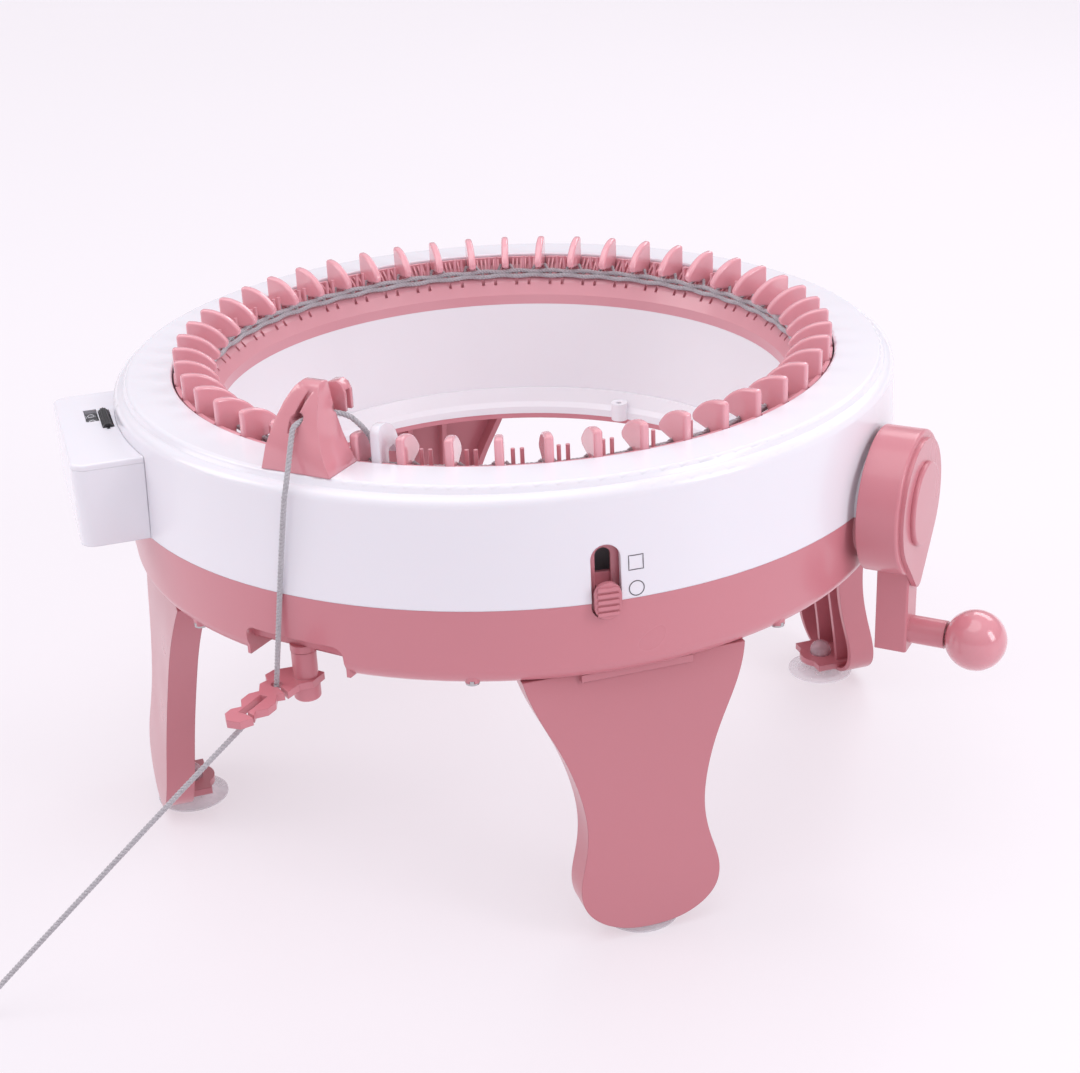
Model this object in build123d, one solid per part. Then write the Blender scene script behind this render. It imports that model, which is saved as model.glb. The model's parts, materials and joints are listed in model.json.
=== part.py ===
from build123d import *
import os
from math import asin, cos, degrees, pi, radians, sin, tan

# Circular knitting machine, in millimetres.
# The origin is on the table plane, under the centre of the needle ring.
# +Z is up, +X is the crank's axis, and the yarn guide stands on the -Y side.

# ---------------------------------------------------------------- driving dimensions
CASING_R = 165.0            # outer radius of the casing at the seam
SEAM_Z = 143.0              # seam between the top cover and the base; the crank's axis too
TOP_Z = 188.3               # flat top of the cover
BOTTOM_Z = 110.6            # underside of the base
FLOOR_Z = 113.0             # inner floor of the base
RIM_R = 139.1               # inner edge of the top cover
OPENING_R = 116.0           # radius of the knitting opening
SHELL = 2.5                 # casing wall

NEEDLES = 48
PITCH = 360 / NEEDLES
NEEDLE_ANGLE = 4.8          # angle of the first pink needle
WHITE_ANGLE = 278.4         # the white first needle stands midway between two pink ones
WHITE_LIFT = 3.2            # how far the white needle stands above the others
NEEDLE_T = 3.4              # needle thickness
CHANNEL_W = 3.8             # width of a needle channel
STEM_IN_R = 130.1
STEM_OUT_R = 138.0
CREST_Z = 197.5
BUTT_Z = 150.05             # underside of a needle butt
CAM_Z = 150.0               # track that the butts ride on

DRUM_R = 121.5              # inner radius of the drum wall
DRUM_WALL = 2.5
BED_TOP_Z = 165.5
COMB_Z = 167.9              # joint between the drum wall and the comb ring
TRACK_Z = 120.65            # underside of the drum, on the rollers

MODULE = 150.0 * 2 / 144    # crown gear of 144 teeth on a mean radius of 150
CROWN_TEETH = 144
PINION_TEETH = 16
PINION_R = MODULE * PINION_TEETH / 2
PITCH_Z = SEAM_Z - PINION_R
ADDENDUM = 0.9 * MODULE
ROOT_GAP = 0.45
BACKLASH = 0.28             # taken off each flank
PRESSURE = radians(20)
CROWN_IN_R = 146.0
CROWN_OUT_R = 154.5

ROLLERS = 6
ROLLER_R = 3.6
ROLLER_Z = 117.0
ROLLER_MID_R = 129.7

CRANK_R = 29.1
CRANK_X = 166.0             # inner face of the crank disc
CRANK_FACE_X = 182.3
KNOB_X = 208.2
KNOB_Z = 87.4
KNOB_R = 12.4
SHAFT_R = 5.0

LEG_ANGLES = {"front_right": -45, "rear_right": 45, "rear_left": 135, "front_left": -135}
CUP_N = 153.0               # distance of a suction cup from the machine's axis
CUP_R = 15.2

MODE_ANGLE = -50.0
MODE_TRAVEL = 13.0

COUNTER_ANGLE = -135.0
COUNTER_FACE = 186.0        # outer face of the counter case
COUNTER_HALF = 42.0
COUNTER_TOP_Z = 177.0
WHEEL_N = 172.6
WHEEL_Z = 170.0
WHEEL_R = 5.0
RESET_N = 167.4
RESET_Z = 176.4

GUIDE_X = -0.75             # middle of the yarn guide
LIP_X = 2.7                 # middle of its fork's lip
FORK_Z = 204.6              # underside of the guide's inner fork, above the needles
POST = (-8.0, -153.4)       # tensioner post
ARM_Z = 100.5
ARM_T = 3.0

YARN_R = 1.1

SCREW_ANGLES = [22.5 + 45 * i for i in range(8)]
CASING_SCREW_R = 158.5      # distances of the screws from the machine's axis
CAM_SCREW_R = 150.0
COLLAR_SCREW_R = 124.0
LEG_SCREW_N = 146.0
DRUM_SCREW_R = 142.5
GUIDE_SCREW_X = (GUIDE_X - 8.0, GUIDE_X + 8.0)
GUIDE_SCREW_Y = -149.0
RUNNING = 0.05              # radial running clearance

needle_angles = [NEEDLE_ANGLE + PITCH * i for i in range(NEEDLES)]
channel_angles = needle_angles + [WHITE_ANGLE]
roller_angles = [30 + 360 / ROLLERS * i for i in range(ROLLERS)]
collar_angles = [60 * i for i in range(6)]


# ---------------------------------------------------------------- helpers
def turned(angle, n=0.0, t=0.0, z=0.0):
    """Place in the radial frame at an angle: n outward, t anticlockwise, z up."""
    return Rot(0, 0, angle) * Pos(n, t, z)


def ring(*points):
    """Solid of revolution about the machine's axis from (radius, height) points."""
    return revolve(Plane.XZ * make_face(Polyline(*points, close=True)), axis=Axis.Z)


def disc(radius, z0, z1, x=0.0, y=0.0):
    """Upright cylinder between two heights."""
    return Pos(x, y, (z0 + z1) / 2) * Cylinder(radius, z1 - z0)


def rod(radius, n0, n1, t=0.0, z=0.0):
    """Cylinder along the radial direction between two distances."""
    return Pos((n0 + n1) / 2, t, z) * Rot(0, 90, 0) * Cylinder(radius, n1 - n0)


def crossbar(radius, t0, t1, n, z):
    """Cylinder along the tangential direction."""
    return Pos(n, (t0 + t1) / 2, z) * Rot(90, 0, 0) * Cylinder(radius, t1 - t0)


def block(n0, n1, t0, t1, z0, z1):
    """Box between two corners."""
    return Pos((n0 + n1) / 2, (t0 + t1) / 2, (z0 + z1) / 2) * Box(n1 - n0, t1 - t0, z1 - z0)


def around(shape, angles):
    """Copies of a shape turned about the machine's axis, as separate solids."""
    return [Rot(0, 0, angle) * shape for angle in angles]


def joined(shapes):
    """One shape fused from several."""
    first, *rest = shapes
    return first + rest


def save(name, shape):
    """Write one piece, or a group of loose solids, to parts/."""
    if isinstance(shape, list):
        solids = [solid for item in shape for solid in item.solids()]
        shape = Compound(solids)
    shape.label = name
    export_step(shape, "parts/" + name + ".step")


def screw(shank_r, head_r, z_tip, z_seat, z_head):
    """Upright screw whose head lies beyond its seat."""
    return disc(shank_r, min(z_tip, z_seat), max(z_tip, z_seat)) + disc(
        head_r, min(z_seat, z_head), max(z_seat, z_head))


# ---------------------------------------------------------------- casing
CRANK_BOSS_R = 23.0
BUSH_R = 8.0
BUSH_FLANGE_R = 10.0
BUSH_IN_X = 153.0
BUSH_OUT_X = 165.7
HUB_R = 12.0
MODE_HALF = 5.5
MODE_LOW_Z = 136.0
MODE_HIGH_Z = 165.0
NOTCH_ANGLE = -92.4         # recess under the base for the tensioner
NOTCH_HALF = 22.0
NOTCH_IN_N = 146.5
NOTCH_Z = 117.6
ARCH_IN_N = 156.6           # shallow arch in the wall above the recess
ARCH_Z = 123.5
LINING = 1.6
LEVER_FOOT_Z = 119.0
LEVER_N = 157.0
LEVER_T = 14.0


def crank_boss():
    """Round boss on the casing behind the crank, with the hub that holds the bush."""
    boss = rod(CRANK_BOSS_R, 159.0, BUSH_OUT_X, z=SEAM_Z) + rod(HUB_R, 155.5, 160.0, z=SEAM_Z)
    inside = disc(CASING_R - SHELL - 0.4, SEAM_Z - 40, SEAM_Z + 40)
    boss = boss - (inside - rod(HUB_R, 155.0, 166.0, z=SEAM_Z))
    return boss


def bush_hole():
    return rod(BUSH_R, 150.0, 170.0, z=SEAM_Z)


def mode_slot():
    """Upright slot with round ends through the casing wall."""
    straight = block(150, 170, -MODE_HALF, MODE_HALF, MODE_LOW_Z + MODE_HALF, MODE_HIGH_Z - MODE_HALF)
    low = rod(MODE_HALF, 150, 170, z=MODE_LOW_Z + MODE_HALF)
    high = rod(MODE_HALF, 150, 170, z=MODE_HIGH_Z - MODE_HALF)
    return Rot(0, 0, MODE_ANGLE) * (straight + low + high)


def top_cover():
    outline = Line((RIM_R, 181.5), (RIM_R, 187.3))
    outline += RadiusArc((RIM_R, 187.3), (RIM_R + 1, TOP_Z), 1.0)
    outline += Line((RIM_R + 1, TOP_Z), (156.9, TOP_Z))
    outline += RadiusArc((156.9, TOP_Z), (158.6, 186.9), 1.8)
    outline += Line((158.6, 186.9), (159.4, 185.5))
    outline += Line((159.4, 185.5), (160.6, 185.3))
    outline += RadiusArc((160.6, 185.3), (163.5, 181.8), 4.0)
    outline += Line((163.5, 181.8), (CASING_R, SEAM_Z))
    outline += Polyline((CASING_R, SEAM_Z), (CASING_R - SHELL, SEAM_Z), (160.9, 180.8), (158.2, 183.4),
                        (156.6, 185.8), (RIM_R + SHELL, 185.8), (RIM_R + SHELL, 181.5), (RIM_R, 181.5))
    cover = revolve(Plane.XZ * make_face(outline), axis=Axis.Z)
    upper = block(100, 200, -60, 60, SEAM_Z, SEAM_Z + 60)
    cover += crank_boss() & upper
    posts = around(disc(2.8, SEAM_Z, 184.0, x=CASING_SCREW_R) & disc(162.2, 0, 200), SCREW_ANGLES)
    posts += around(disc(3.6, 168.0, 186.5, x=CAM_SCREW_R), SCREW_ANGLES)
    cover += posts
    holes = [bush_hole(), mode_slot(), turned(COUNTER_ANGLE) * block(155, 170, -8, 8, 150, 165)]
    holes += around(disc(1.5, SEAM_Z - 1, 156.0, x=CASING_SCREW_R), SCREW_ANGLES)
    holes += around(disc(1.2, 160.0, 176.0, x=CAM_SCREW_R), SCREW_ANGLES)
    holes += [disc(1.5, 180.0, 190.0, x=x, y=GUIDE_SCREW_Y) for x in GUIDE_SCREW_X]
    return cover - holes


def notch():
    """Recess for the tensioner: a pocket, a shallow arch over it, and the walls that close them."""
    half = NOTCH_HALF + LINING
    pocket = block(NOTCH_IN_N, 170, -NOTCH_HALF, NOTCH_HALF, 100, NOTCH_Z)
    arch = block(ARCH_IN_N, 170, -NOTCH_HALF, NOTCH_HALF, 100, ARCH_Z)
    arch = fillet(arch.edges().filter_by(Axis.X).group_by(Axis.Z)[-1], 4.5)
    lining = block(NOTCH_IN_N - LINING, 163, -half, half, BOTTOM_Z, NOTCH_Z + LINING)
    lining += block(ARCH_IN_N - LINING, 163, -half, half, BOTTOM_Z, ARCH_Z + LINING)
    return [Rot(0, 0, NOTCH_ANGLE) * shape for shape in (pocket, arch, lining)]


def base_housing():
    outline = Polyline((OPENING_R, FLOOR_Z), (OPENING_R, BOTTOM_Z), (157.0, BOTTOM_Z))
    outline += RadiusArc((157.0, BOTTOM_Z), (162.1, 117.0), -9.0)
    outline += Polyline((162.1, 117.0), (CASING_R, SEAM_Z), (CASING_R - SHELL, SEAM_Z), (159.8, 118.6),
                        (157.0, FLOOR_Z), (OPENING_R, FLOOR_Z))
    base = revolve(Plane.XZ * make_face(outline), axis=Axis.Z)
    lower = block(100, 200, -60, 60, SEAM_Z - 60, SEAM_Z)
    base += crank_boss() & lower
    pocket, arch, lining = notch()
    base += lining & disc(161.0, 100, SEAM_Z)
    posts = around(disc(2.8, BOTTOM_Z + 1, SEAM_Z, x=CASING_SCREW_R) & disc(161.0, 0, 200), SCREW_ANGLES)
    ears = [turned(a) * (block(n0, n0 + 1.2, -3.0, 3.0, FLOOR_Z - 0.5, 119.2))
            for a in roller_angles for n0 in (125.8, 132.4)]
    lever_boss = turned(COUNTER_ANGLE) * disc(1.9, FLOOR_Z - 0.5, LEVER_FOOT_Z, x=LEVER_N, y=LEVER_T)
    base += posts + ears + [lever_boss]
    cuts = [pocket, arch, bush_hole(), mode_slot()]
    cuts += [turned(a) * rod(1.0, 120, 140, z=ROLLER_Z) for a in roller_angles]
    cuts += around(disc(1.5, 100, SEAM_Z + 1, x=CASING_SCREW_R), SCREW_ANGLES)
    cuts += around(disc(2.6, 100, BOTTOM_Z + 2.0, x=CASING_SCREW_R), SCREW_ANGLES)
    cuts += around(disc(1.3, 105, 115, x=COLLAR_SCREW_R), collar_angles)
    cuts += around(disc(1.5, 105, 115, x=LEG_SCREW_N), LEG_ANGLES.values())
    return base - cuts


def inner_collar():
    """White ring round the opening; its wall is the drum's bearing."""
    collar = ring((OPENING_R, FLOOR_Z), (OPENING_R, 116.4), (118.0, 118.6), (120.4, 125.0),
                  (DRUM_R - RUNNING, 125.0), (DRUM_R - RUNNING, 115.2), (125.4, 115.2), (125.4, FLOOR_Z))
    lug = disc(4.0, FLOOR_Z, 121.5, x=0, y=OPENING_R - 0.5) - disc(DRUM_R - 3.0, 110, 112)
    collar += lug & disc(DRUM_R - 1.0, 100, 130)
    holes = around(disc(1.3, 110, 120, x=COLLAR_SCREW_R), collar_angles)
    holes += [disc(1.3, 116.0, 125.0, x=0, y=OPENING_R - 1.0)]
    return collar - holes


# ---------------------------------------------------------------- cam ring
CAM_WALL_R = 143.2


def cam_ring():
    """Static ring that carries the needle butts, with the V-shaped dip beside the feeder."""
    wall = ring((CAM_WALL_R, 130.0), (CAM_WALL_R, 168.0), (153.6, 168.0), (153.6, 165.6),
                (CAM_WALL_R + 2.2, 165.6), (CAM_WALL_R + 2.2, 130.0))
    ledge = ring((139.2, CAM_Z - SHELL), (139.2, CAM_Z), (CAM_WALL_R + 0.5, CAM_Z), (CAM_WALL_R + 0.5, CAM_Z - SHELL))
    half, depth = 18.0, 17.0
    dip = [(-half, CAM_Z), (0, CAM_Z - depth), (half, CAM_Z)]
    under = [(t, z - 3.4) for t, z in reversed(dip)]
    track = ring((139.2, 125.0), (139.2, CAM_Z), (CAM_WALL_R + 0.5, CAM_Z), (CAM_WALL_R + 0.5, 125.0))
    face = make_face(Polyline(*dip, *under, close=True))
    slope = extrude(Plane(origin=(130, 0, 0), x_dir=(0, 1, 0), z_dir=(1, 0, 0)) * face, amount=20)
    gap = block(130, 150, -half, half, CAM_Z - SHELL - 1, CAM_Z + 1)
    feeder = Rot(0, 0, 267.3)
    cam = wall + (ledge - feeder * gap) + (track & (feeder * slope))
    return cam - around(disc(1.5, 160, 170, x=CAM_SCREW_R), SCREW_ANGLES)


# ---------------------------------------------------------------- drum
def needle_drum():
    """White drum: wall, flange and the track that runs on the rollers."""
    drum = ring((DRUM_R, 117.2), (DRUM_R, COMB_Z), (DRUM_R + DRUM_WALL, COMB_Z), (DRUM_R + DRUM_WALL, 123.4),
                (CROWN_IN_R, 123.4), (CROWN_IN_R, TRACK_Z), (DRUM_R + DRUM_WALL, TRACK_Z),
                (DRUM_R + DRUM_WALL, 117.2))
    return drum - around(disc(1.2, 110, 130, x=DRUM_SCREW_R), SCREW_ANGLES)


BED_R = DRUM_R + DRUM_WALL
FIN_R = 137.0
FIN_HALF = 3.45


def needle_bed():
    """Ring of radial guide channels, one for each needle, round the drum wall."""
    sketch = Circle(BED_R + 1.6)
    arms = [Rot(0, 0, a) * Pos((BED_R + FIN_R) / 2, 0) * Rectangle(FIN_R - BED_R, 2 * FIN_HALF)
            for a in channel_angles]
    slots = [Rot(0, 0, a) * Pos(STEM_IN_R - 0.2 + 5, 0) * Rectangle(10, CHANNEL_W) for a in channel_angles]
    sketch = (sketch + arms) - slots - Circle(BED_R)
    return extrude(Pos(0, 0, 128.0) * sketch, amount=BED_TOP_Z - 128.0)


def comb_ring():
    """Pink comb at the top of the drum: slots for the needles and pairs of spikes between them."""
    comb = ring((DRUM_R, COMB_Z), (DRUM_R, 172.5), (124.6, 177.8), (126.4, 179.6), (129.5, 180.6),
                (135.8, 183.8), (136.6, 187.2), (138.4, 187.2), (138.4, BED_TOP_Z), (136.0, BED_TOP_Z),
                (136.0, 181.0), (127.0, 176.8), (124.0, 172.0), (124.0, COMB_Z))
    slots = [turned(a) * block(STEM_IN_R - 0.2, 142, -CHANNEL_W / 2, CHANNEL_W / 2, 160, 192)
             for a in channel_angles]
    spike = disc(0.8, 178.4, 190.0, x=128.0)
    spikes = []
    for a in needle_angles:
        middle = a + PITCH / 2 - 0.9
        near_white = abs((middle - WHITE_ANGLE + 180) % 360 - 180) < 2
        if not near_white:
            spikes += around(spike, (middle - 0.75, middle + 0.75))
    notch_pair = [turned(a + PITCH / 2 + side * 1.38) * block(123.2, 126.2, -0.7, 0.7, 176.8, 182.0)
                  for a in needle_angles for side in (-1, 1)]
    return comb + spikes - (slots + notch_pair)


def needle():
    """Hook needle in its radial plane: stem, butt, rounded head and the tongue of the hook."""
    top = CREST_Z
    outline = Polyline((STEM_IN_R, 131.0), (STEM_OUT_R, 131.0), (STEM_OUT_R, BUTT_Z), (142.0, BUTT_Z),
                       (142.0, BUTT_Z + 4.5), (STEM_OUT_R, BUTT_Z + 4.5), (STEM_OUT_R, top - 3.0))
    outline += ThreePointArc((STEM_OUT_R, top - 3.0), (136.9, top - 0.9), (134.0, top))
    outline += ThreePointArc((134.0, top), (124.6, top - 3.6), (120.2, top - 12.2))
    outline += Polyline((120.2, top - 12.2), (120.0, top - 14.6), (122.3, top - 14.6), (123.9, top - 12.0),
                        (125.2, top - 10.6), (129.0, top - 10.6), (STEM_IN_R, top - 12.0), (STEM_IN_R, 131.0))
    return extrude(Plane.XZ.offset(-NEEDLE_T / 2) * make_face(outline), amount=NEEDLE_T)


def crown_gear():
    """Ring gear with its teeth facing up, screwed to the drum's flange."""
    base = ring((CROWN_IN_R - 7, 123.4), (CROWN_IN_R - 7, 125.2), (CROWN_IN_R, 125.2), (CROWN_IN_R, 124.0),
                (CROWN_OUT_R, 124.0), (CROWN_OUT_R, TRACK_Z), (CROWN_IN_R, TRACK_Z), (CROWN_IN_R, 123.4))
    step = radians(360 / CROWN_TEETH)
    root_z = 124.0
    tip_z = PITCH_Z + ADDENDUM

    def half_width(z):
        """Half of the tooth's width at a height; the flanks are flat."""
        return 150.0 * step / 4 - BACKLASH - (z - PITCH_Z) * tan(PRESSURE)

    low, high = half_width(root_z - 0.2), half_width(tip_z)
    section = make_face(Polyline((-low, root_z - 0.2), (low, root_z - 0.2), (high, tip_z), (-high, tip_z),
                                 close=True))
    tooth = extrude(Plane(origin=(147.0, 0, 0), x_dir=(0, 1, 0), z_dir=(1, 0, 0)) * section, amount=6.0)
    teeth = around(tooth, [degrees(step) * (i + 0.5) for i in range(CROWN_TEETH)])
    gear = base + teeth
    return gear - around(disc(1.2, 110, 130, x=DRUM_SCREW_R), SCREW_ANGLES)


# ---------------------------------------------------------------- drive
def involute_point(base_r, roll):
    return base_r * (cos(roll) + roll * sin(roll)), base_r * (sin(roll) - roll * cos(roll))


def drive_pinion():
    """Spur pinion and its shaft, on the crank's axis, one tooth pointing straight down."""
    base_r = PINION_R * cos(PRESSURE)
    tip_r = PINION_R + ADDENDUM
    root_r = PINION_R - ADDENDUM - ROOT_GAP
    inv = tan(PRESSURE) - PRESSURE
    half = pi / (2 * PINION_TEETH) + inv - BACKLASH / PINION_R
    roll_tip = ((tip_r / base_r) ** 2 - 1) ** 0.5
    start = max(root_r, base_r)
    roll_start = ((start / base_r) ** 2 - 1) ** 0.5
    flank = []
    for i in range(5):
        x, y = involute_point(base_r, roll_start + (roll_tip - roll_start) * i / 4)
        c, s = cos(-half), sin(-half)
        flank.append((x * c - y * s, x * s + y * c))
    other = [(x, -y) for x, y in reversed(flank)]
    inner = root_r - 1.0
    foot = degrees(half)
    low = (inner * cos(radians(foot)), -inner * sin(radians(foot)))
    tooth = make_face(Polyline(low, *flank, *other, (low[0], -low[1]), close=True))
    sketch = Circle(root_r) + [Rot(0, 0, 360 / PINION_TEETH * i) * tooth for i in range(PINION_TEETH)]
    # the sketch's x axis points down, and its normal along +X
    plane = Plane(origin=(147.5, 0, SEAM_Z), x_dir=(0, 0, -1), z_dir=(1, 0, 0))
    gear = extrude(plane * sketch, amount=5.0)
    shaft = rod(SHAFT_R, 146.5, 178.0, z=SEAM_Z)
    key = block(168.5, 178.0, -1.5, 1.5, SEAM_Z + 3.0, SEAM_Z + 6.5)
    return gear + shaft + key - rod(1.6, 170.0, 179.0, z=SEAM_Z)


def crank_bush():
    body = rod(BUSH_R, BUSH_IN_X, BUSH_OUT_X, z=SEAM_Z) + rod(BUSH_FLANGE_R, BUSH_IN_X, 155.4, z=SEAM_Z)
    return body - rod(SHAFT_R + RUNNING, 150, 170, z=SEAM_Z)


ARM_HALF = 6.7
ARM_X = 168.8
ARM_LOW_Z = 79.5
STEM_R = 5.7
KNOB_FACE_X = 196.6
CAP_R = 17.0


def crank_handle():
    """Disc and arm in one hollow moulding, with the raised drop shape and the knob's stem."""
    web = 2.6
    body = rod(CRANK_R, CRANK_X, CRANK_FACE_X, z=SEAM_Z) - rod(CRANK_R - web, CRANK_X - 1, CRANK_FACE_X - web,
                                                               z=SEAM_Z)
    body = fillet(body.edges().group_by(Axis.X)[-1], 1.2)
    arm = block(ARM_X, CRANK_FACE_X - 0.6, -ARM_HALF, ARM_HALF, ARM_LOW_Z, SEAM_Z - CRANK_R + 4)
    arm = fillet(arm.edges().filter_by(Axis.Z).group_by(Axis.X)[-1], 1.0)
    arm -= block(ARM_X - 1, CRANK_FACE_X - 3.2, -ARM_HALF + web, ARM_HALF - web, ARM_LOW_Z + web,
                 SEAM_Z - CRANK_R + 8)
    hub = rod(9.5, CRANK_X + 0.2, CRANK_FACE_X - 1, z=SEAM_Z)
    drop_r, tip_r, tip_z = 26.0, 5.0, SEAM_Z - 31.0
    lean = asin((drop_r - tip_r) / (SEAM_Z - tip_z))
    sides = [(s * drop_r * cos(lean), SEAM_Z - drop_r * sin(lean)) for s in (1, -1)]
    tips = [(s * tip_r * cos(lean), tip_z - tip_r * sin(lean)) for s in (-1, 1)]
    plane = Plane(origin=(CRANK_FACE_X - 0.5, 0, 0), x_dir=(0, 1, 0), z_dir=(1, 0, 0))
    drop = Pos(0, SEAM_Z) * Circle(drop_r) + Pos(0, tip_z) * Circle(tip_r)
    drop += make_face(Polyline(sides[0], sides[1], tips[0], tips[1], close=True))
    raised = extrude(plane * drop, amount=2.2)
    stem = rod(STEM_R, CRANK_FACE_X - 2, KNOB_FACE_X - 0.3, z=KNOB_Z)
    handle = body + arm + hub + raised + stem
    handle -= rod(SHAFT_R, CRANK_X - 1, 178.0, z=SEAM_Z)
    handle -= block(168.5, 178.0, -1.5, 1.5, SEAM_Z + 3.0, SEAM_Z + 6.5)
    handle -= rod(1.6, 170, 190, z=SEAM_Z)
    handle -= rod(3.6, CRANK_FACE_X, 190, z=SEAM_Z)
    return handle - rod(2.5, 186.0, 200.0, z=KNOB_Z)


def crank_cap():
    cap = rod(CAP_R, CRANK_FACE_X + 1.7, CRANK_FACE_X + 3.6, z=SEAM_Z)
    return fillet(cap.edges().group_by(Axis.X)[-1], 1.0)


def crank_screw():
    return rod(1.6, 171.0, CRANK_FACE_X, z=SEAM_Z) + rod(3.6, CRANK_FACE_X, CRANK_FACE_X + 1.6, z=SEAM_Z)


def knob_pin():
    """Steel pin in the stem, with a head that keeps the knob on."""
    return rod(2.5, 186.0, 212.0, z=KNOB_Z) + rod(4.2, 212.0, 214.0, z=KNOB_Z)


def crank_knob():
    ball = Pos(KNOB_X, 0, KNOB_Z) * Sphere(KNOB_R)
    ball &= block(KNOB_FACE_X, 230, -20, 20, 60, 120)
    ball -= rod(2.5 + RUNNING, 190, 211.9, z=KNOB_Z)
    return ball - rod(4.2 + RUNNING, 211.8, 214.2, z=KNOB_Z)


# ---------------------------------------------------------------- legs and cups
LEG_WALL = 3.0
LEG_DEPTH = 12.0
LEG_TOP_N = 155.2
LEG_FOOT_N = 168.2
LEDGE_Z = 6.0
DOME_Z = LEDGE_Z + 3.0      # seat of the cup's head on the ledge
DOME_R = 5.15
COLLAR_R = 5.6


def leg_profile(inset):
    """Front outline of a leg, wide under the casing, narrow at the waist, round at the foot."""
    half = [(44.0, BOTTOM_Z), (40.0, 98.0), (32.5, 82.0), (25.6, 62.0), (23.8, 47.0), (25.6, 35.0),
            (28.2, 23.5), (26.6, 15.0), (20.5, 8.4), (11.0, 4.2), (0.0, 3.0)]
    right = [(t - inset, max(z, 3.0 + inset)) for t, z in half[:-1]]
    right = [right[0]] + [p for p in right[1:] if p[1] > 3.0 + inset + 0.5] + [(0.0, 3.0 + inset)]
    left = [(-t, z) for t, z in reversed(right[:-1])]
    edge = Spline(*right, *left)
    return make_face(edge + Line(edge @ 1, edge @ 0))


def leg():
    """One leg: a bent plate with a deep border, two ribs, a foot ledge and a top pad."""
    sheet = [(LEG_TOP_N - 2.0, BOTTOM_Z + 1), (LEG_TOP_N, BOTTOM_Z - 6), (159.4, 75.0), (163.4, 42.0),
             (LEG_FOOT_N - 1.4, 18.0), (LEG_FOOT_N, 0.0)]
    side = Spline(*sheet)

    def slab(depth):
        """Everything from the outer face to a depth behind it."""
        back = Spline(*[(n - depth, z) for n, z in sheet])
        outline = make_face(side + Line(side @ 1, back @ 1) + back + Line(back @ 0, side @ 0))
        return extrude(Plane.XZ.offset(-60) * outline, amount=120)

    front = Plane(origin=(120, 0, 0), x_dir=(0, 1, 0), z_dir=(1, 0, 0))
    whole = extrude(front * leg_profile(0.0), amount=70)
    core = extrude(front * leg_profile(LEG_WALL), amount=70)
    body = (whole & slab(LEG_WALL)) + ((whole - core) & slab(LEG_DEPTH))
    ribs = [block(140, 170, s * 9 - 1.2, s * 9 + 1.2, LEDGE_Z, BOTTOM_Z) & whole & slab(LEG_DEPTH - 1)
            for s in (-1, 1)]
    ledge = block(CUP_N - 7, 168, -13, 13, LEDGE_Z, LEDGE_Z + 3) & (slab(40))
    ledge = ledge + disc(10.0, LEDGE_Z, LEDGE_Z + 3, x=CUP_N)
    pad = block(LEG_SCREW_N - 6, 156, -22, 22, BOTTOM_Z - 3, BOTTOM_Z)
    body = body + ribs + ledge + pad
    body &= block(100, 200, -60, 60, 0, BOTTOM_Z)
    body -= disc(3.2, 0, 20, x=CUP_N) + disc(COLLAR_R + 0.2, 0, LEDGE_Z, x=CUP_N)
    return body - disc(1.5, 90, 120, x=LEG_SCREW_N)


def suction_cup():
    """Soft clear cup with a neck through the ledge and a domed head above it."""
    skirt = ring((0, 1.6), (11.0, 0.4), (11.0, 0.0), (CUP_R, 0.0), (CUP_R, 0.7), (9.0, 2.3),
                 (COLLAR_R, 2.8), (COLLAR_R, LEDGE_Z), (3.2, LEDGE_Z), (3.2, DOME_Z), (0, DOME_Z))
    dome = (Pos(0, 0, DOME_Z + 1.2) * Sphere(DOME_R)) & disc(DOME_R + 1, DOME_Z, DOME_Z + 10)
    return Pos(CUP_N, 0, 0) * (skirt + dome)


# ---------------------------------------------------------------- mode slider
def pill(n0, n1, half, z0, z1):
    """Plate with round ends standing across the radial direction."""
    return (block(n0, n1, -half, half, z0 + half, z1 - half) + rod(half, n0, n1, z=z0 + half)
            + rod(half, n0, n1, z=z1 - half))


def mode_frame():
    """Pink plate close behind the slot, with the narrow slot that the slider's neck runs in."""
    plate = block(158.6, 160.0, -10.5, 10.5, 131.0, 170.0)
    rails = [block(155.0, 158.6, s * 9.7 - 0.8, s * 9.7 + 0.8, 131.0, 170.0) for s in (-1, 1)]
    plate -= pill(155, 162, 2.9, 138.6, 162.2)
    return Rot(0, 0, MODE_ANGLE) * joined([plate] + rails)


def mode_slider():
    """Slider: back plate behind the frame, neck, and a ribbed thumb piece with round ends."""
    back = block(156.6, 158.5, -8.6, 8.6, 134.0, 152.0)
    neck = block(158.0, 166.0, -2.5, 2.5, 140.2, 147.2)
    thumb = pill(165.3, 167.2, 5.0, 137.0, 151.4)
    ribs = [block(167.0, 167.9, -4.0, 4.0, z - 0.75, z + 0.75) for z in (139.4, 141.8, 144.2, 146.6, 149.0)]
    return Rot(0, 0, MODE_ANGLE) * joined([back, neck, thumb] + ribs)


# ---------------------------------------------------------------- row counter
LID_Z = COUNTER_TOP_Z - 2.4
WINDOW = (170.0, 175.2, -20.8, -6.2)
ROLLER_SLOT = (165.0, 169.6, -18.4, 3.4)
AXLE_R = 1.2
UNITS_T = (-13.3, -6.9)
TENS_T = (-20.2, -13.7)


def casing_space():
    """The casing's own volume with a fitting gap, taken out of the counter's back."""
    gap = 0.06
    return ring((0, 100), (0, 200), (162.8 + gap, 200), (CASING_R + gap, SEAM_Z), (CASING_R + gap, 100))


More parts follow.
